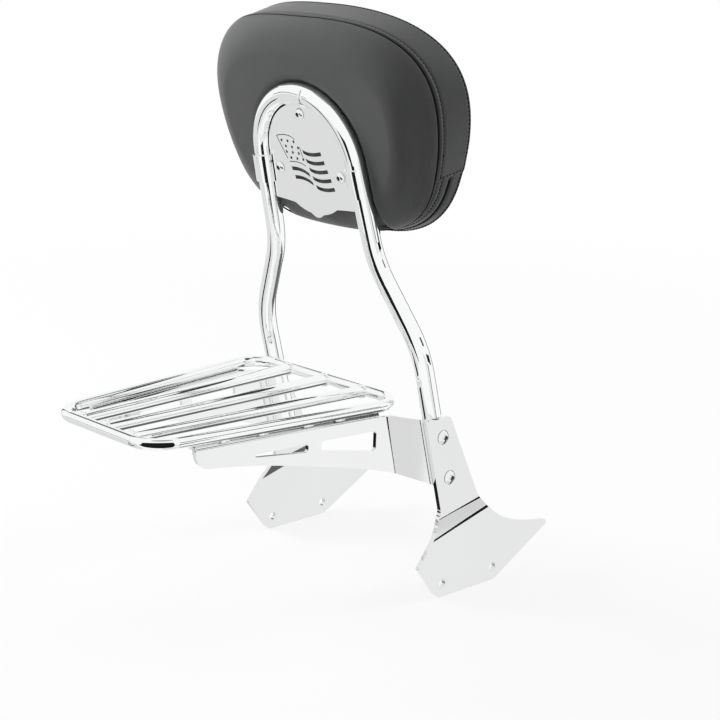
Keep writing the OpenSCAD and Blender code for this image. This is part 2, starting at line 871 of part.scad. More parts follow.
module arm_flange() {
    z_top = rack_z - rack_r;
    p = [rack_half(arm_rear_y) + arm_out - arm_t, arm_rear_y];
    q = [rack_half(flange_end_y) + arm_out - arm_t, flange_end_y];
    run = norm(q - p);
    translate([p[0], p[1], z_top])
        rotate([0, 0, -taper])
            difference() {
                union() {
                    translate([-flange_w + arm_t, 0, -arm_t])
                        cube([flange_w - arm_t, run, arm_t]);
                    translate([0, 0, -arm_t])
                        rotate([-90, 0, 0])
                            cylinder(r = arm_t, h = run);
                }
                translate([-arm_t - 1, -1, -3 * arm_t])
                    cube([arm_t + 1, run + 2, 2 * arm_t]);
            }
}

module rack_arm() {
    difference() {
        union() {
            intersection() {
                rotate([90, 0, 90])
                    linear_extrude(140)
                        difference() {
                            arm_outline();
                            arm_slots();
                        }
                hoop_space()
                    linear_extrude(400)
                        arm_plan();
                translate([0, -400, 0])
                    cube([140, 500, rack_z - rack_r - arm_t]);
            }
            arm_flange();
        }
        hoop_space()
            for (z = bolt_levels)
                translate([leg_x, 0, z])
                    rotate([0, 90, 0])
                        cylinder(r = plate_bolt_d / 2 + hole_gap, h = 20);
    }
}

module rack_arm_right() {
    color(chrome)
        rack_arm();
}

module rack_arm_left() {
    color(chrome)
        mirror([1, 0, 0])
            rack_arm();
}

backrest_hoop();
leg_bung_left();
leg_bung_right();
insert_plate();
insert_screw_top();
insert_screw_left();
insert_screw_right();
pad_cover();
pad_foam();
pad_base();
pad_t_nuts();
side_plate_left();
side_plate_right();
side_bolts_left();
side_bolts_right();
rack_loop();
rack_bar_left();
rack_bar_centre();
rack_bar_right();
rack_arm_left();
rack_arm_right();
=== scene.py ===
"""Sissy bar for a cruiser: a chromed tube hoop with a padded backrest, a cut insert plate,
a pair of side plates that bolt to the fender, and a luggage rack on two arms."""

import math

import bmesh
import bpy
from mathutils import Matrix, Vector
from mathutils.bvhtree import BVHTree
from mathutils.kdtree import KDTree


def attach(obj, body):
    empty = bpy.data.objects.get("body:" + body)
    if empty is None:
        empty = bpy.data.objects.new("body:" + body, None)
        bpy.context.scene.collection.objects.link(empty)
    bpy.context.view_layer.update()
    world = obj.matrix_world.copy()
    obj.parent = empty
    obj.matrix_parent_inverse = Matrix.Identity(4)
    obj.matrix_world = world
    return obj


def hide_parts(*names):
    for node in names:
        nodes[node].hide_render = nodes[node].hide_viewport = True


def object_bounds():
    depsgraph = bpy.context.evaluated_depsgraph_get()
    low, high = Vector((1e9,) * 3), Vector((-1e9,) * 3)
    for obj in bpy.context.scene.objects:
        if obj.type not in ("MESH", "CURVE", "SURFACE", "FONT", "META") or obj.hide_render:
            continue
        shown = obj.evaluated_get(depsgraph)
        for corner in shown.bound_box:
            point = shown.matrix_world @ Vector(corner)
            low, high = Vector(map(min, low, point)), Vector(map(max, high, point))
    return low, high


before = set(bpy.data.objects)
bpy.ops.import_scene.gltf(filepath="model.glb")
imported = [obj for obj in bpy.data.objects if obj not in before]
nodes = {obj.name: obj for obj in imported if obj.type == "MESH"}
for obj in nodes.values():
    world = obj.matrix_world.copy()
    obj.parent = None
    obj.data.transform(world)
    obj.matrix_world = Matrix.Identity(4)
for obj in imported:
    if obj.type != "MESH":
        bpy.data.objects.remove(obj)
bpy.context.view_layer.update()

# The camera stands behind and to the right of the bar, a little above the pad, with a
# long lens, so that the rack and the hoop keep their slender look.
camera_heading = 47.199
camera_down = 14.558
camera_roll = 0.847
camera_data = bpy.data.cameras.new("studio_camera")
camera_data.sensor_width = 36
camera_data.lens = 87.84
studio_camera = bpy.data.objects.new("studio_camera", camera_data)
bpy.context.scene.collection.objects.link(studio_camera)
heading = Matrix.Rotation(math.radians(camera_heading), 4, "Z")
tilt = Matrix.Rotation(math.radians(90 - camera_down), 4, "X")
lean = Matrix.Rotation(math.radians(camera_roll), 4, "Z")
camera_place = Matrix.Translation((1.23165, -1.1325, 0.63081))
studio_camera.matrix_world = camera_place @ heading @ tilt @ lean
bpy.context.scene.camera = studio_camera
bpy.context.scene.view_settings.view_transform = "Standard"


# The floor is a sheet of white paper that runs out to a white room. It keeps a soft
# shadow under the bar. The chrome doesn't see the paper, and mirrors the white room.
def show_white_to_camera_and_chrome(tree):
    """A value that is 1 for the camera, for reflections and for light through glass."""
    rays = tree.nodes.new("ShaderNodeLightPath")
    either = tree.nodes.new("ShaderNodeMath")
    either.operation = "MAXIMUM"
    tree.links.new(rays.outputs["Is Camera Ray"], either.inputs[0])
    tree.links.new(rays.outputs["Is Glossy Ray"], either.inputs[1])
    seen = tree.nodes.new("ShaderNodeMath")
    seen.operation = "MAXIMUM"
    tree.links.new(either.outputs[0], seen.inputs[0])
    tree.links.new(rays.outputs["Is Transmission Ray"], seen.inputs[1])
    return seen


floor_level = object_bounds()[0].z - 0.0002
bpy.ops.object.select_all(action="DESELECT")
bpy.ops.mesh.primitive_plane_add(size=80, location=(0, 0, floor_level))
paper_floor = bpy.context.object
paper_floor.name = "paper_floor"
paper = bpy.data.materials.new("white_paper")
paper.use_nodes = True
paper_tree = paper.node_tree
paper_tree.nodes.clear()
paper_output = paper_tree.nodes.new("ShaderNodeOutputMaterial")
matt = paper_tree.nodes.new("ShaderNodeBsdfDiffuse")
matt.inputs["Color"].default_value = (0.5, 0.5, 0.5, 1)
glow = paper_tree.nodes.new("ShaderNodeEmission")
blend = paper_tree.nodes.new("ShaderNodeMixShader")
seen = show_white_to_camera_and_chrome(paper_tree)
# Close to the bar the paper takes its shadow, and further out it fades into the room.
paper_place = paper_tree.nodes.new("ShaderNodeTexCoord")
paper_reach = paper_tree.nodes.new("ShaderNodeVectorMath")
paper_reach.operation = "LENGTH"
paper_tree.links.new(paper_place.outputs["Object"], paper_reach.inputs[0])
shadow_edge = 0.3
room_edge = 2.2
fade = paper_tree.nodes.new("ShaderNodeMapRange")
fade.interpolation_type = "SMOOTHSTEP"
fade.inputs["From Min"].default_value = shadow_edge
fade.inputs["From Max"].default_value = room_edge
fade.inputs["To Min"].default_value = 0.86
fade.inputs["To Max"].default_value = 1
paper_tree.links.new(paper_reach.outputs["Value"], fade.inputs["Value"])
share = paper_tree.nodes.new("ShaderNodeMath")
share.operation = "MULTIPLY"
paper_tree.links.new(fade.outputs["Result"], share.inputs[1])
paper_tree.links.new(seen.outputs[0], share.inputs[0])
paper_tree.links.new(share.outputs[0], blend.inputs["Fac"])
paper_tree.links.new(matt.outputs[0], blend.inputs[1])
paper_tree.links.new(glow.outputs[0], blend.inputs[2])
paper_tree.links.new(blend.outputs[0], paper_output.inputs["Surface"])
paper_floor.data.materials.append(paper)
paper_floor.visible_glossy = False

# The room lights the bar only faintly, so that the lamps shape it, but the camera and
# the chrome see it as plain white.
room = bpy.data.worlds.new("white_room")
bpy.context.scene.world = room
room.use_nodes = True
room_tree = room.node_tree
room_tree.nodes.clear()
room_output = room_tree.nodes.new("ShaderNodeOutputWorld")
room_light = room_tree.nodes.new("ShaderNodeBackground")
room_light.inputs["Color"].default_value = (1, 1, 1, 1)
room_light.inputs["Strength"].default_value = 0.2
room_white = room_tree.nodes.new("ShaderNodeBackground")
room_white.inputs["Color"].default_value = (1, 1, 1, 1)
room_blend = room_tree.nodes.new("ShaderNodeMixShader")
room_seen = show_white_to_camera_and_chrome(room_tree)
room_tree.links.new(room_seen.outputs[0], room_blend.inputs["Fac"])
room_tree.links.new(room_light.outputs[0], room_blend.inputs[1])
room_tree.links.new(room_white.outputs[0], room_blend.inputs[2])
room_tree.links.new(room_blend.outputs[0], room_output.inputs["Surface"])


# Three soft lamps: one at each side, so that the corner that faces the camera stays
# dark between them, and a weaker one overhead.
lamp_aim = Vector((0, -0.05, 0.3))


def soft_lamp(name, place, size, watts):
    lamp = bpy.data.lights.new(name, "AREA")
    lamp.shape = "DISK"
    lamp.size = size
    lamp.energy = watts
    holder = bpy.data.objects.new(name, lamp)
    bpy.context.scene.collection.objects.link(holder)
    holder.location = place
    holder.rotation_euler = (lamp_aim - Vector(place)).to_track_quat("-Z", "Y").to_euler()
    holder.visible_glossy = False


soft_lamp("left_lamp", (-2.1, -1.25, 1.25), size=1.3, watts=110)
soft_lamp("right_lamp", (1.0, 2.1, 1.25), size=1.3, watts=68)
soft_lamp("top_lamp", (-0.3, -0.5, 2.6), size=1.6, watts=36)


# Black and grey boards that stand round the bar, out of the picture. Only the chrome
# and the vinyl see them, as the dark lines and bands that make polished metal read.
bar_middle = Vector((0, -0.08, 0.27))


def board_finish(name, shade):
    finish = bpy.data.materials.new(name)
    finish.use_nodes = True
    tree = finish.node_tree
    tree.nodes.clear()
    output = tree.nodes.new("ShaderNodeOutputMaterial")
    light = tree.nodes.new("ShaderNodeEmission")
    light.inputs["Color"].default_value = (shade, shade, shade, 1)
    tree.links.new(light.outputs[0], output.inputs["Surface"])
    return finish


def set_up_board(piece, finish):
    piece.data.materials.append(finish)
    piece.visible_camera = False
    piece.visible_diffuse = False
    piece.visible_shadow = False
    piece.visible_transmission = False


def facing_board(name, bearing, wide, low, high, finish, distance=4):
    """A board far from the bar, at a bearing in degrees to the right of the camera. It
    spans so many degrees, from one elevation to another, as the chrome sees it."""
    angle = math.radians(camera_heading + bearing)
    outward = Vector((math.sin(angle), -math.cos(angle), 0))
    across = Vector((math.cos(angle), math.sin(angle), 0))
    half = distance * math.tan(math.radians(wide / 2))
    bottom = distance * math.tan(math.radians(low))
    top = distance * math.tan(math.radians(high))
    bpy.ops.object.select_all(action="DESELECT")
    bpy.ops.mesh.primitive_plane_add(size=1)
    piece = bpy.context.object
    piece.name = name
    for v in piece.data.vertices:
        rise = top if v.co.y > 0 else bottom
        side = math.copysign(half, v.co.x)
        v.co = bar_middle + outward * distance + across * side + Vector((0, 0, rise))
    set_up_board(piece, finish)


black_board = board_finish("black_board", 0.012)
dark_board = board_finish("dark_board", 0.08)
grey_board = board_finish("grey_board", 0.8)
pale_board = board_finish("pale_board", 0.77)
shade_board = board_finish("shade_board", 0.14)
facing_board("board_leg", -42, 26, -24, -3, black_board)
facing_board("board_leg_foot", -94, 26, -41, -33, black_board, 3.8)
facing_board("board_plate_edge", -92, 9, -25, -13, black_board, 3.8)
facing_board("board_bend", 58.3, 6.5, -32, -8, black_board)
facing_board("board_line_right", 83, 34, -5, 2.5, black_board)
facing_board("board_line_left", -97, 26, -1, 2.5, black_board)
facing_board("board_near_tube", 66, 12, 9, 17, black_board)
facing_board("board_far_leg", 50, 80, -80, -48, pale_board)
facing_board("board_foot", 78, 14, 3.5, 8.5, grey_board)
facing_board("board_under_rack", 114, 72, -62, -40, shade_board)
facing_board("board_far_right", 131, 12, -38, 35, dark_board)
facing_board("board_far_left", -146, 6, -8, 28, dark_board)
facing_board("board_rear_tube", -152, 30, 30, 42, shade_board)
facing_board("board_tab", 43, 20, -30, -2, grey_board)
facing_board("board_plate", -106, 84, -62, -8, pale_board)

# A small black card close to the rear right corner of the rack fills its bend, and
# draws the dark line down the near leg.
bpy.ops.object.select_all(action="DESELECT")
bpy.ops.mesh.primitive_plane_add(size=1)
corner_card = bpy.context.object
corner_card.name = "corner_card"
card_middle = Vector((0.123, -0.369, 0.183))
card_along = Vector((0.613, 0.79, 0))
card_wide = 0.24
card_high = 0.21
for v in corner_card.data.vertices:
    v.co = card_middle + card_along * v.co.x * card_wide + Vector((0, 0, v.co.y * card_high))
set_up_board(corner_card, black_board)

# A grey disc high overhead, seen only in the chrome and the vinyl, gives each tube a
# soft line along its crest.
disc_radius = 1.15
disc_level = 4.2
bpy.ops.object.select_all(action="DESELECT")
bpy.ops.mesh.primitive_circle_add(
    vertices=64,
    radius=disc_radius,
    fill_type="NGON",
    location=(bar_middle.x, bar_middle.y, disc_level),
)
overhead_disc = bpy.context.object
overhead_disc.name = "overhead_disc"
set_up_board(overhead_disc, board_finish("overhead_grey", 0.42))


# The hoop is 3/4 inch steel tube, bent cold in one plane, polished and chrome plated.
# Its lower ends are flattened on the outside, where the arms and side plates bolt on.
def join_nodes(material, source, output, target, entry):
    material.node_tree.links.new(source.outputs[output], target.inputs[entry])


def chrome(name, colour, polish, ripple, scale):
    """Plated steel: bright, with a faint haze and the slight wave that polishing leaves."""
    finish = bpy.data.materials.new(name)
    finish.use_nodes = True
    shader = finish.node_tree.nodes["Principled BSDF"]
    shader.inputs["Metallic"].default_value = 1
    place = finish.node_tree.nodes.new("ShaderNodeTexCoord")
    haze = finish.node_tree.nodes.new("ShaderNodeTexNoise")
    haze.inputs["Scale"].default_value = scale
    haze.inputs["Detail"].default_value = 6
    join_nodes(finish, place, "Object", haze, "Vector")
    tone = finish.node_tree.nodes.new("ShaderNodeValToRGB")
    tone.color_ramp.elements[0].position = 0.3
    tone.color_ramp.elements[1].position = 0.75
    tone.color_ramp.elements[0].color = tuple(0.975 * c for c in colour) + (1,)
    tone.color_ramp.elements[1].color = tuple(colour) + (1,)
    join_nodes(finish, haze, "Fac", tone, "Fac")
    join_nodes(finish, tone, "Color", shader, "Base Color")
    blur = finish.node_tree.nodes.new("ShaderNodeMapRange")
    blur.inputs["To Min"].default_value = polish * 0.6
    blur.inputs["To Max"].default_value = polish * 1.5
    join_nodes(finish, haze, "Fac", blur, "Value")
    join_nodes(finish, blur, "Result", shader, "Roughness")
    wave = finish.node_tree.nodes.new("ShaderNodeTexNoise")
    wave.inputs["Scale"].default_value = scale * 0.7
    wave.inputs["Detail"].default_value = 1
    join_nodes(finish, place, "Object", wave, "Vector")
    bump = finish.node_tree.nodes.new("ShaderNodeBump")
    bump.inputs["Strength"].default_value = ripple
    bump.inputs["Distance"].default_value = 0.0005
    join_nodes(finish, wave, "Fac", bump, "Height")
    join_nodes(finish, bump, "Normal", shader, "Normal")
    return finish


def give_finish(piece, finish):
    piece.data.materials.clear()
    piece.data.materials.append(finish)


tube_chrome = chrome("tube_chrome", (0.955, 0.965, 0.97), 0.035, 0.03, 24)
give_finish(nodes["backrest_hoop"], tube_chrome)


# Solid bar pressed into the leg ends and threaded for the side bolts. Plain turned steel
# with the faint rings of the lathe.
def plain_steel(name, colour, ring_scale):
    finish = bpy.data.materials.new(name)
    finish.use_nodes = True
    shader = finish.node_tree.nodes["Principled BSDF"]
    shader.inputs["Metallic"].default_value = 1
    shader.inputs["Base Color"].default_value = tuple(colour) + (1,)
    place = finish.node_tree.nodes.new("ShaderNodeTexCoord")
    rings = finish.node_tree.nodes.new("ShaderNodeTexNoise")
    rings.inputs["Scale"].default_value = ring_scale
    join_nodes(finish, place, "Object", rings, "Vector")
    blur = finish.node_tree.nodes.new("ShaderNodeMapRange")
    blur.inputs["To Min"].default_value = 0.28
    blur.inputs["To Max"].default_value = 0.5
    join_nodes(finish, rings, "Fac", blur, "Value")
    join_nodes(finish, blur, "Result", shader, "Roughness")
    return finish


turned_steel = plain_steel("turned_steel", (0.56, 0.57, 0.58), 300)
for side in ("left", "right"):
    give_finish(nodes[f"leg_bung_{side}"], turned_steel)

# The insert is 3 mm sheet, cut with a waving flag and formed into three ears that clip
# round the tube. Its cut edges are broken before it is plated.
rim_angle = math.radians(50)
slight_bend = math.radians(5)
shortest_bend = 0.014


def round_the_bends(mesh, reach):
    """Rounds the long edges where the plate was bent, and leaves its rims sharp."""
    sheet = bmesh.new()
    sheet.from_mesh(mesh)
    bends = []
    for edge in sheet.edges:
        if len(edge.link_faces) == 2 and edge.calc_length() > shortest_bend:
            if slight_bend < edge.calc_face_angle(0) < rim_angle:
                bends.append(edge)
    bmesh.ops.bevel(
        sheet,
        geom=bends,
        offset=reach,
        offset_type="OFFSET",
        segments=5,
        profile=0.5,
        affect="EDGES",
        clamp_overlap=False,
    )
    sheet.to_mesh(mesh)
    sheet.free()


def broken_edges(node, name, edge, bend_reach=0.0):
    """A copy of a plate with rounded bends and small broken edges, in place of the node."""
    piece = bpy.data.objects.new(name, nodes[node].data.copy())
    bpy.context.scene.collection.objects.link(piece)
    bpy.ops.object.select_all(action="DESELECT")
    piece.select_set(True)
    bpy.context.view_layer.objects.active = piece
    bpy.ops.object.mode_set(mode="EDIT")
    bpy.ops.mesh.select_all(action="SELECT")
    bpy.ops.mesh.remove_doubles(threshold=0.00001)
    bpy.ops.mesh.customdata_custom_splitnormals_clear()
    bpy.ops.mesh.dissolve_limited(angle_limit=math.radians(0.6))
    bpy.ops.object.mode_set(mode="OBJECT")
    if bend_reach:
        round_the_bends(piece.data, bend_reach)
    rims = piece.modifiers.new("broken_edge", "BEVEL")
    rims.width = edge
    rims.segments = 2
    rims.limit_method = "ANGLE"
    rims.angle_limit = rim_angle
    rims.use_clamp_overlap = True
    bpy.ops.object.shade_smooth_by_angle(angle=math.radians(35))
    bpy.ops.object.modifier_apply(modifier=rims.name)
    # The flats stay flat, and only the bends and the broken edges turn the light.
    flats = piece.modifiers.new("true_flats", "WEIGHTED_NORMAL")
    flats.mode = "FACE_AREA"
    flats.weight = 100
    flats.keep_sharp = True
    bpy.ops.object.modifier_apply(modifier=flats.name)
    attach(piece, "root")
    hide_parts(node)
    return piece


plate_chrome = chrome("plate_chrome", (0.935, 0.945, 0.94), 0.05, 0.03, 16)
insert = broken_edges("insert_plate", "insert_plate_broken_edges", edge=0.00035)
give_finish(insert, plate_chrome)

# Three button-head screws hold the insert and the pad together through the hoop. They
# are turned and plated, with a hex socket.
screw_chrome_and_socket_shade = chrome("screw_chrome_and_socket_shade", (0.86, 0.865, 0.87), 0.06, 0.02, 90)
screw_tree = screw_chrome_and_socket_shade.node_tree
# The sockets read as dark holes: the colour is scaled down, as painted shade, where the steel
# round a point hides the room.
hollows = screw_tree.nodes.new("ShaderNodeAmbientOcclusion")
hollows.samples = 8
hollows.inputs["Distance"].default_value = 0.004
painted_socket_shade = screw_tree.nodes.new("ShaderNodeMapRange")
painted_socket_shade.inputs["From Min"].default_value = 0.35
painted_socket_shade.inputs["From Max"].default_value = 0.75
painted_socket_shade.inputs["To Min"].default_value = 0.06
socket_shaded_tone = screw_tree.nodes.new("ShaderNodeMix")
socket_shaded_tone.data_type = "RGBA"
socket_shaded_tone.blend_type = "MULTIPLY"
socket_shaded_tone.inputs["Factor"].default_value = 1
screw_shader = screw_tree.nodes["Principled BSDF"]
screw_tone = screw_shader.inputs["Base Color"].links[0].from_socket
screw_tree.links.new(screw_tone, socket_shaded_tone.inputs["A"])
join_nodes(screw_chrome_and_socket_shade, hollows, "AO", painted_socket_shade, "Value")
join_nodes(screw_chrome_and_socket_shade, painted_socket_shade, "Result", socket_shaded_tone, "B")
join_nodes(screw_chrome_and_socket_shade, socket_shaded_tone, "Result", screw_shader, "Base Color")
for place in ("top", "left", "right"):
    give_finish(nodes[f"insert_screw_{place}"], screw_chrome_and_socket_shade)

# The arms are 4 mm plate, bent to an upright web, a top flange and a cranked tab. They
# are slotted, polished and chromed, and stand inside the side plates.
arm_chrome = chrome("arm_chrome", (0.87, 0.875, 0.875), 0.05, 0.03, 14)
for side in ("left", "right"):
    arm_name = f"rack_arm_{side}"
    arm = broken_edges(arm_name, f"{arm_name}_broken_edges", edge=0.0005, bend_reach=0.0032)
    give_finish(arm, arm_chrome)

# The side plates are 3/16 inch plate with an outward step above the foot, drilled for
# the fender bolts. Their edges are rounded on a belt before plating.
side_chrome = chrome("side_plate_chrome", (0.80, 0.805, 0.805), 0.045, 0.05, 12)
for side in ("left", "right"):
    plate_name = f"side_plate_{side}"
    plate = broken_edges(plate_name, f"{plate_name}_broken_edges", edge=0.0007, bend_reach=0.004)
    give_finish(plate, side_chrome)
    give_finish(nodes[f"side_bolts_{side}"], screw_chrome_and_socket_shade)

# The rack is 7/16 inch tube bent to a loop, with three bars coped to it. The joints are
# welded all round, and short beads hold the loop to the flanges of the arms.
rack_chrome = chrome("rack_chrome", (0.93, 0.94, 0.94), 0.035, 0.03, 30)
for node in ("rack_loop", "rack_bar_left", "rack_bar_centre", "rack_bar_right"):
    give_finish(nodes[node], rack_chrome)

rack_radius = 0.00555
rack_level = 0.183
bar_ends = {"rear": -0.298, "front": -0.0345}
bar_spread = {"rear": 0.037, "front": 0.054}
bead = 0.0011
bead_stand = 0.0002
bead_lift = 0.00045
cope_share = 0.8
for side, sign in (("left", -1), ("centre", 0), ("right", 1)):
    for end, middle in bar_ends.items():
        inward = 1 if end == "rear" else -1
        turn = math.atan2(
            sign * (bar_spread["front"] - bar_spread["rear"]),
            bar_ends["front"] - bar_ends["rear"],
        )
        bpy.ops.object.select_all(action="DESELECT")
        bpy.ops.mesh.primitive_torus_add(
            major_segments=72,
            minor_segments=12,
            major_radius=rack_radius + bead_stand,
            minor_radius=bead,
        )
        ring = bpy.context.object
        ring.name = f"weld_{side}_{end}"
        for v in ring.data.vertices:
            around = math.atan2(v.co.y, v.co.x)
            # The bead follows the cope: it lies further along the bar at its sides.
            saddle = rack_radius - math.sqrt(
                max(rack_radius**2 - (rack_radius * math.sin(around)) ** 2, 0)
            )
            ripple = 1 + 0.06 * math.sin(24 * around)
            v.co.x *= ripple
            v.co.y *= ripple
            v.co.z += bead_lift - saddle * cope_share
        lay = Matrix.Rotation(-turn, 4, "Z") @ Matrix.Rotation(-inward * math.pi / 2, 4, "X")
        shift = Vector((sign * bar_spread[end], middle + inward * (rack_radius + bead * 0.2), 0))
        ring.data.transform(lay @ Matrix.Rotation(math.pi / 2, 4, "Z"))
        ring.data.transform(Matrix.Translation(shift + Vector((0, 0, rack_level))))
        ring.data.shade_smooth()
        give_finish(ring, rack_chrome)
        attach(ring, "root")

tack_length = 0.011
tack_half_wide = 0.0019
tack_half_high = 0.0012
loop_rear_half = 0.072
loop_front_half = 0.108
loop_length = bar_ends["front"] - bar_ends["rear"]
lean_in = math.atan2(loop_front_half - loop_rear_half, loop_length)
for side, sign in (("left", -1), ("right", 1)):
    for count, along in enumerate((-0.228, -0.189, -0.142, -0.108)):
        share_forward = (along - bar_ends["rear"]) / loop_length
        across = loop_rear_half + (loop_front_half - loop_rear_half) * share_forward
        bpy.ops.object.select_all(action="DESELECT")
        bpy.ops.mesh.primitive_uv_sphere_add(segments=32, ring_count=16, radius=1)
        tack = bpy.context.object
        tack.name = f"tack_weld_{side}_{count + 1}"
        for v in tack.data.vertices:
            ripple = 1 + 0.1 * math.cos(v.co.y * 9)
            wide = v.co.x * tack_half_wide * ripple
            high = v.co.z * tack_half_high * ripple
            v.co = Vector((wide, v.co.y * tack_length / 2, high))
        tack.data.transform(Matrix.Rotation(-sign * lean_in, 4, "Z"))
        spot = Vector((sign * (across + 0.0022), along, rack_level - rack_radius + 0.0004))
        tack.data.transform(Matrix.Translation(spot))
        tack.data.shade_smooth()
        give_finish(tack, rack_chrome)
        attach(tack, "root")


# Inside the pad: a moulded plastic base with three T-nuts, and foam cut to the shape of
# the cover. Nothing of them shows once the cover is sewn.
base_plastic = bpy.data.materials.new("moulded_base")
base_plastic.use_nodes = True
base_shader = base_plastic.node_tree.nodes["Principled BSDF"]
base_shader.inputs["Base Color"].default_value = (0.018, 0.018, 0.02, 1)
base_shader.inputs["Roughness"].default_value = 0.55
base_place = base_plastic.node_tree.nodes.new("ShaderNodeTexCoord")
base_grain = base_plastic.node_tree.nodes.new("ShaderNodeTexNoise")
base_grain.inputs["Scale"].default_value = 900
base_bump = base_plastic.node_tree.nodes.new("ShaderNodeBump")
base_bump.inputs["Strength"].default_value = 0.2
base_bump.inputs["Distance"].default_value = 0.0002
join_nodes(base_plastic, base_place, "Object", base_grain, "Vector")
join_nodes(base_plastic, base_grain, "Fac", base_bump, "Height")
join_nodes(base_plastic, base_bump, "Normal", base_shader, "Normal")
give_finish(nodes["pad_base"], base_plastic)
give_finish(nodes["pad_t_nuts"], plain_steel("zinc_steel", (0.66, 0.64, 0.55), 500))

# The pad cover is black grained vinyl: a back panel, a gusset and a front panel, sewn
# edge to edge and drawn over the foam. The hoop sinks into its back.
mm = 0.001
# The pad is laid out in millimetres, in the leaning plane of the hoop.
rake = math.radians(13.7)
hoop_foot = 36.9
tube_radius = 9.525
vinyl_play = 0.35
arch_radius = 65
arch_level = 411
leg_splay = math.radians(3.3)
columns = 240
back_y = 1.55
rear_seam_y = 14
front_seam_y = 50
side_wrap = 18
crown = 12.5
roll = 33
# Half width, rise, drop, taper, level, and roundness above and below the middle.
rear_edge = (141, 126, 77, 0.17, 418, 2.75, 3.8)
front_edge = (145, 127, 95, 0.23, 420, 2.4, 3.6)


def in_frame(x, y, up):
    """A point of the hoop's own plane, in millimetres, as a place in the frame."""
    return Vector(
        (
            x,
            hoop_foot + y * math.cos(rake) - up * math.sin(rake),
            y * math.sin(rake) + up * math.cos(rake),
        )
    ) * mm


def outline(turn, wide, rise, drop, taper, level, upper, lower):
    """A point of a rounded outline, wider above than below, at a turn in radians."""
    c, s = math.cos(turn), math.sin(turn)
    power = upper if s >= 0 else lower
    u = math.copysign(abs(c) ** (2 / power), c)
    v = math.copysign(abs(s) ** (2 / power), s)
    return wide * (1 + taper * v) * u, level + (rise if s >= 0 else drop) * v


def mix(a, b, t):
    return a + (b - a) * t


hem_turn = math.radians(-5.5)
column_turns = []
for i in range(columns):
    column_turns.append(2 * math.pi * i / columns + hem_turn)


# The line of the tube where it lies against the pad: the arch and both legs.
tube_line = KDTree(900)
count = 0
for i in range(301):
    angle = leg_splay + (math.pi - 2 * leg_splay) * i / 300
    spot = (arch_radius * math.cos(angle), arch_level + arch_radius * math.sin(angle), 0)
    tube_line.insert(spot, count)
    count += 1
arch_end = (arch_radius * math.cos(leg_splay), arch_level + arch_radius * math.sin(leg_splay))
hip_level = 348
hip_radius = 102
for side in (-1, 1):
    for i in range(1, 121):
        level = arch_end[1] - i
        out = arch_end[0] + i * math.tan(leg_splay)
        out += max(hip_level - level, 0) ** 2 / (2 * hip_radius)
        tube_line.insert((side * out, level, 0), count)
        count += 1
tube_line.balance()


def sunk(x, up):
    """How far forward the tube presses the back of the pad at a point."""
    away = tube_line.find((x, up, 0))[2]
    press = tube_radius + vinyl_play
    lip = 9.0
    if away < lip:
        return math.sqrt(press**2 - away**2) - back_y
    reach = 14.5
    at_lip = math.sqrt(press**2 - lip**2) - back_y
    return at_lip * max(1 - (away - lip) / (reach - lip), 0) ** 2


rows = []
back_rings = 27
for i in range(back_rings):
    rows.append(("back", (i + 1) / back_rings))
for i in range(1, 15):
    rows.append(("roll", 90 - 6 * i))
rows.append(("roll", 4))
rows.append(("roll", 1.8))
rear_seam_row = len(rows)
gusset_steps = [0, 0.03, 0.06, 0.095, 0.13, 0.155, 0.18, 0.22, 0.26, 0.3, 0.34, 0.4, 0.46]
gusset_steps += [0.51, 0.55, 0.58, 0.61, 0.65, 0.7, 0.76, 0.82, 0.87, 0.9, 0.925, 0.95, 0.975]
for t in gusset_steps:
    rows.append(("gusset", t))
front_seam_row = len(rows)
rows.append(("gusset", 1))
for q in (0.992, 0.982, 0.965, 0.945, 0.92, 0.89, 0.85, 0.8, 0.74, 0.67, 0.59, 0.5, 0.4, 0.3):
    rows.append(("front", q))
rows.append(("front", 0.2))
rows.append(("front", 0.1))


rear_level = rear_edge[4]
front_level = front_edge[4]


def wrap(x):
    """How far forward the pad curves at a distance from its middle."""
    return side_wrap * (x / rear_edge[0]) ** 2


def pad_point(row, turn):
    """A point of the sewn shape before the foam fills it out."""
    kind, t = row
    if kind == "gusset":
        x, up = outline(turn, *[mix(a, b, t) for a, b in zip(rear_edge, front_edge)])
        return x, mix(rear_seam_y, front_seam_y, t) + wrap(x), up
    if kind == "front":
        x, up = outline(turn, *[size * t for size in front_edge[:3]], *front_edge[3:])
        return x, front_seam_y + crown * (1 - t**2.6) + wrap(x), up
    bend = math.radians(t if kind == "roll" else 90)
    inset = roll * (1 - math.cos(bend) ** 1.25)
    drop = math.sin(bend) ** 1.25
    x, up = outline(turn, *[size - inset for size in rear_edge[:3]], *rear_edge[3:])
    y = rear_seam_y - (rear_seam_y - back_y) * drop
    if kind == "back":
        return x * t, back_y, rear_level + (up - rear_level) * t
    return x, y + side_wrap * (1 - drop) * (x / rear_edge[0]) ** 2, up


points = []
for row in rows:
    for turn in column_turns:
        points.append(in_frame(*pad_point(row, turn)))
back_middle = len(points)
points.append(in_frame(0, back_y, rear_level))
points.append(in_frame(0, front_seam_y + crown, front_level))
faces = []
for j in range(len(rows) - 1):
    for i in range(columns):
        k = (i + 1) % columns
        low = j * columns
        high = low + columns
        faces.append((low + i, low + k, high + k, high + i))
last = (len(rows) - 1) * columns
for i in range(columns):
    k = (i + 1) % columns
    faces.append((k, i, back_middle))
    faces.append((last + i, last + k, back_middle + 1))
pad_mesh = bpy.data.meshes.new("pad_vinyl")
pad_mesh.from_pydata(points, [], faces)
pad_mesh.validate()
pad = bpy.data.objects.new("pad_vinyl", pad_mesh)
bpy.context.scene.collection.objects.link(pad)
bpy.ops.object.select_all(action="DESELECT")
pad.select_set(True)
bpy.context.view_layer.objects.active = pad
bpy.ops.object.mode_set(mode="EDIT")
bpy.ops.mesh.select_all(action="SELECT")
bpy.ops.mesh.normals_make_consistent(inside=False)
bpy.ops.object.mode_set(mode="OBJECT")

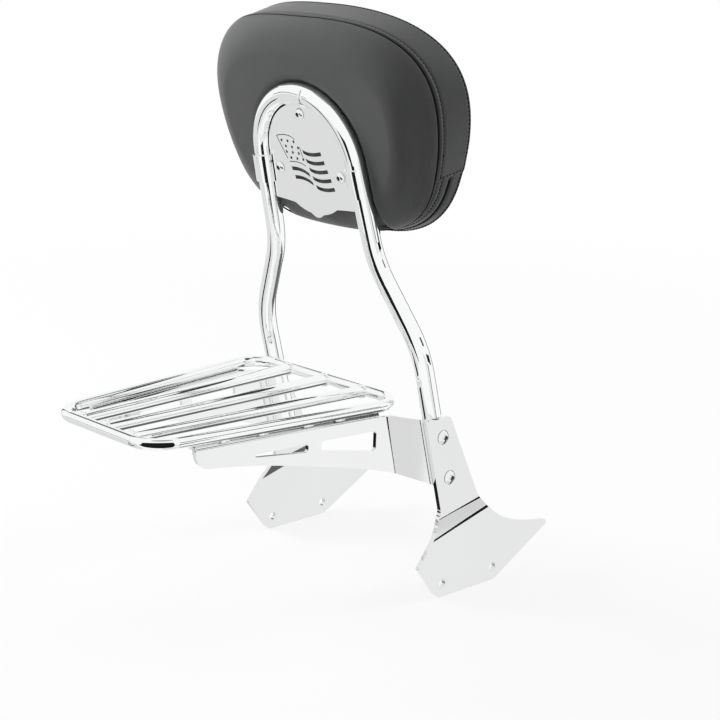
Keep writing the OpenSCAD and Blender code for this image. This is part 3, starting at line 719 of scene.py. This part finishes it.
# The foam fills the cover out: the seams and the back hold, and the panels between them
# swell, by no more than a few millimetres.
settle_steps = 20
held = pad.vertex_groups.new(name="held_by_seams")
for j, row in enumerate(rows):
    hold = 0.0
    if row[0] == "back":
        hold = 1.0
    elif j in (rear_seam_row, front_seam_row):
        hold = 1.0
    elif row[0] == "roll" and row[1] > 70:
        hold = (row[1] - 70) / 20
    if hold:
        held.add([j * columns + i for i in range(columns)], hold, "REPLACE")
held.add([back_middle], 1, "REPLACE")
swell = pad.modifiers.new("foam_pressure", "CLOTH")
swell.settings.quality = 6
swell.settings.mass = 0.35
swell.settings.tension_stiffness = 40
swell.settings.compression_stiffness = 40
swell.settings.bending_stiffness = 2
swell.settings.use_pressure = True
swell.settings.uniform_pressure_force = 4
swell.settings.vertex_group_mass = held.name
swell.settings.effector_weights.gravity = 0
swell.point_cache.frame_start = 1
swell.point_cache.frame_end = settle_steps
before = [v.co.copy() for v in pad.data.vertices]
for step in range(1, settle_steps + 1):
    bpy.context.scene.frame_set(step)
bpy.ops.object.modifier_apply(modifier=swell.name)
bpy.context.scene.frame_set(1)
most = 5 * mm
for v, start in zip(pad.data.vertices, before):
    moved = v.co - start
    if moved.length > most:
        v.co = start + moved * (most / moved.length)
pad.vertex_groups.clear()

# The sewn lines are then pulled in: the two seams, the welt behind the rear one and,
# below the hem at each side, the folds of the closing flap under the gusset.
pad.data.update()
outward = [v.normal.copy() for v in pad.data.vertices]


def dip(t, middle, width, depth):
    return -depth * math.exp(-(((t - middle) / width) ** 2))


def gusset_relief(t, lower):
    """Height of the gusset's surface over its plain curve, in millimetres."""
    height = dip(t, 0, 0.02, 3.6) + dip(t, 0.155, 0.02, 1.3) + dip(t, 0.075, 0.045, -0.9)
    height += dip(t, 1, 0.02, 1.3) + dip(t, 0.925, 0.016, 0.7) + dip(t, 0.965, 0.02, -0.3)
    if lower:
        height -= 1.9
        height += dip(t, 0.3, 0.02, 0.9) + dip(t, 0.6, 0.035, 3.6) + dip(t, 0.44, 0.05, -0.6)
    return height


for j, row in enumerate(rows):
    if row[0] == "back":
        for i in range(columns):
            v = pad.data.vertices[j * columns + i]
            x, y, up = pad_point(row, column_turns[i])
            v.co = in_frame(x, back_y + sunk(x, up), up)
        continue
    for i in range(columns):
        v = pad.data.vertices[j * columns + i]
        turn = column_turns[i]
        lower = math.sin(turn - hem_turn) < -1e-6 and math.sin(turn) < math.sin(hem_turn)
        if row[0] == "gusset":
            v.co += outward[j * columns + i] * gusset_relief(row[1], lower) * mm
        elif row[0] == "roll":
            x, y, up = pad_point(row, turn)
            v.co += outward[j * columns + i] * dip(row[1], 0, 2.4, 3.6) * mm
            v.co += in_frame(0, sunk(x, up), 0) - in_frame(0, 0, 0)
        else:
            v.co += outward[j * columns + i] * dip(row[1], 1, 0.008, 1.0) * mm
smooth = pad.modifiers.new("even_skin", "SUBSURF")
smooth.levels = 1
smooth.render_levels = 1
bpy.ops.object.modifier_apply(modifier=smooth.name)
pad.data.shade_smooth()

# Grained vinyl: small pebbles that catch the light, a little uneven in its sheen.
vinyl = bpy.data.materials.new("grained_vinyl")
vinyl.use_nodes = True
vinyl_shader = vinyl.node_tree.nodes["Principled BSDF"]
vinyl_place = vinyl.node_tree.nodes.new("ShaderNodeTexCoord")
pebble = vinyl.node_tree.nodes.new("ShaderNodeTexVoronoi")
pebble.feature = "SMOOTH_F1"
pebble.inputs["Scale"].default_value = 750
pebble.inputs["Smoothness"].default_value = 0.6
sheen = vinyl.node_tree.nodes.new("ShaderNodeTexNoise")
sheen.inputs["Scale"].default_value = 35
sheen.inputs["Detail"].default_value = 5
join_nodes(vinyl, vinyl_place, "Object", pebble, "Vector")
join_nodes(vinyl, vinyl_place, "Object", sheen, "Vector")
vinyl_shader.inputs["Specular IOR Level"].default_value = 0.22
dye = vinyl.node_tree.nodes.new("ShaderNodeValToRGB")
dye.color_ramp.elements[0].color = (0.066, 0.069, 0.067, 1)
dye.color_ramp.elements[1].color = (0.079, 0.082, 0.08, 1)
join_nodes(vinyl, sheen, "Fac", dye, "Fac")
join_nodes(vinyl, dye, "Color", vinyl_shader, "Base Color")
gloss = vinyl.node_tree.nodes.new("ShaderNodeMapRange")
gloss.inputs["To Min"].default_value = 0.34
gloss.inputs["To Max"].default_value = 0.46
join_nodes(vinyl, sheen, "Fac", gloss, "Value")
join_nodes(vinyl, gloss, "Result", vinyl_shader, "Roughness")
grain = vinyl.node_tree.nodes.new("ShaderNodeBump")
grain.inputs["Strength"].default_value = 0.35
grain.inputs["Distance"].default_value = 0.0002
join_nodes(vinyl, pebble, "Distance", grain, "Height")
join_nodes(vinyl, grain, "Normal", vinyl_shader, "Normal")
pad.data.materials.append(vinyl)
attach(pad, "root")
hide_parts("pad_cover", "pad_foam")

# Stitches of bonded black thread, about seven to the inch, along both seams, the hem
# and the flap. Each one lies on the vinyl and dips at its ends.
stitch_pitch = 4.0 * mm
stitch_length = 2.7 * mm
thread_radius = 0.6 * mm
thread_stand = 0.1 * mm
rear_stitches = 0.155
front_stitches = 0.925
flap_stitches = 0.3
flap_gap = 0.6
hem_offset = math.radians(0.8)
pad_skin = BVHTree.FromPolygons(
    [v.co.copy() for v in pad.data.vertices], [tuple(p.vertices) for p in pad.data.polygons]
)
bpy.ops.object.select_all(action="DESELECT")
bpy.ops.mesh.primitive_uv_sphere_add(segments=8, ring_count=6, radius=1)
one_stitch = bpy.context.object
stitch_shape = [v.co.copy() for v in one_stitch.data.vertices]
stitch_faces = [tuple(face.vertices) for face in one_stitch.data.polygons]
bpy.data.objects.remove(one_stitch)
thread_points = []
thread_faces = []


def sew(path):
    """Lays stitches at an even pitch along a list of points near the vinyl."""
    carried = 0.0
    for a, b in zip(path, path[1:]):
        run = (b - a).length
        while carried < run:
            middle = a.lerp(b, carried / run)
            spot, normal, _, _ = pad_skin.find_nearest(middle)
            across = normal.cross(b - a).normalized()
            along = across.cross(normal).normalized()
            first = len(thread_points)
            for p in stitch_shape:
                thread_points.append(
                    spot
                    + along * p.z * stitch_length / 2
                    + across * p.x * thread_radius
                    + normal * (p.y * thread_radius * 0.8 + thread_stand)
                )
            for face in stitch_faces:
                thread_faces.append([first + k for k in face])
            carried += stitch_pitch
        carried -= run


def seam_line(t, turns):
    return [in_frame(*pad_point(("gusset", t), turn)) for turn in turns]


fine_turns = [2 * math.pi * i / 720 for i in range(721)]
sew(seam_line(rear_stitches, fine_turns))
sew(seam_line(front_stitches, fine_turns))
for side_turn in (hem_turn + hem_offset, math.pi - hem_turn - hem_offset):
    hem_steps = [0.16 + 0.76 * i / 20 for i in range(21)]
    sew([in_frame(*pad_point(("gusset", t), side_turn)) for t in hem_steps])
flap_turns = [math.pi - hem_turn + (math.pi + 2 * hem_turn) * i / 400 for i in range(401)]
sew(seam_line(flap_stitches, flap_turns))


def seam_shade_cord(t, turns, radius, depth):
    """A black cord pulled down into a seam, where it closes the gap between the panels: painted
    shade, a dark piece that stands for the shadow in the gap.
    """
    path = seam_line(t, turns)
    middle = in_frame(0, mix(rear_seam_y, front_seam_y, t), rear_level)
    first = len(thread_points)
    sides = 8
    for k, p in enumerate(path):
        ahead = path[min(k + 1, len(path) - 1)] - path[max(k - 1, 0)]
        inward = (middle - p).normalized()
        across = inward.cross(ahead).normalized()
        for m in range(sides):
            around = 2 * math.pi * m / sides
            rim = inward * math.cos(around) + across * math.sin(around)
            thread_points.append(p + inward * depth + rim * radius)
    for k in range(len(path) - 1):
        for m in range(sides):
            n = (m + 1) % sides
            a = first + k * sides
            b = a + sides
            thread_faces.append([a + m, a + n, b + n, b + m])


# Painted shade: black cords down in the rear seam and in the gap of the closing flap.
seam_shade_cord(0, fine_turns, radius=0.8 * mm, depth=0.6 * mm)
seam_shade_cord(flap_gap, flap_turns[6:-6], radius=1.0 * mm, depth=2.5 * mm)
# The stitches and the painted shade cords of the seams make one mesh, in the black thread's
# finish.
thread_mesh = bpy.data.meshes.new("pad_stitches_and_seam_shade")
thread_mesh.from_pydata(thread_points, [], thread_faces)
thread = bpy.data.objects.new("pad_stitches_and_seam_shade", thread_mesh)
bpy.context.scene.collection.objects.link(thread)
thread_mesh.shade_smooth()
thread_and_seam_shade_finish = bpy.data.materials.new("bonded_thread_and_seam_shade")
thread_and_seam_shade_finish.use_nodes = True
thread_shader = thread_and_seam_shade_finish.node_tree.nodes["Principled BSDF"]
thread_shader.inputs["Roughness"].default_value = 0.7
thread_shader.inputs["Specular IOR Level"].default_value = 0.08
thread_place = thread_and_seam_shade_finish.node_tree.nodes.new("ShaderNodeTexCoord")
thread_twist = thread_and_seam_shade_finish.node_tree.nodes.new("ShaderNodeTexNoise")
thread_twist.inputs["Scale"].default_value = 1800
thread_tone = thread_and_seam_shade_finish.node_tree.nodes.new("ShaderNodeValToRGB")
thread_tone.color_ramp.elements[0].color = (0.006, 0.006, 0.006, 1)
thread_tone.color_ramp.elements[1].color = (0.016, 0.016, 0.016, 1)
join_nodes(thread_and_seam_shade_finish, thread_place, "Object", thread_twist, "Vector")
join_nodes(thread_and_seam_shade_finish, thread_twist, "Fac", thread_tone, "Fac")
join_nodes(thread_and_seam_shade_finish, thread_tone, "Color", thread_shader, "Base Color")
thread_mesh.materials.append(thread_and_seam_shade_finish)
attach(thread, "root")
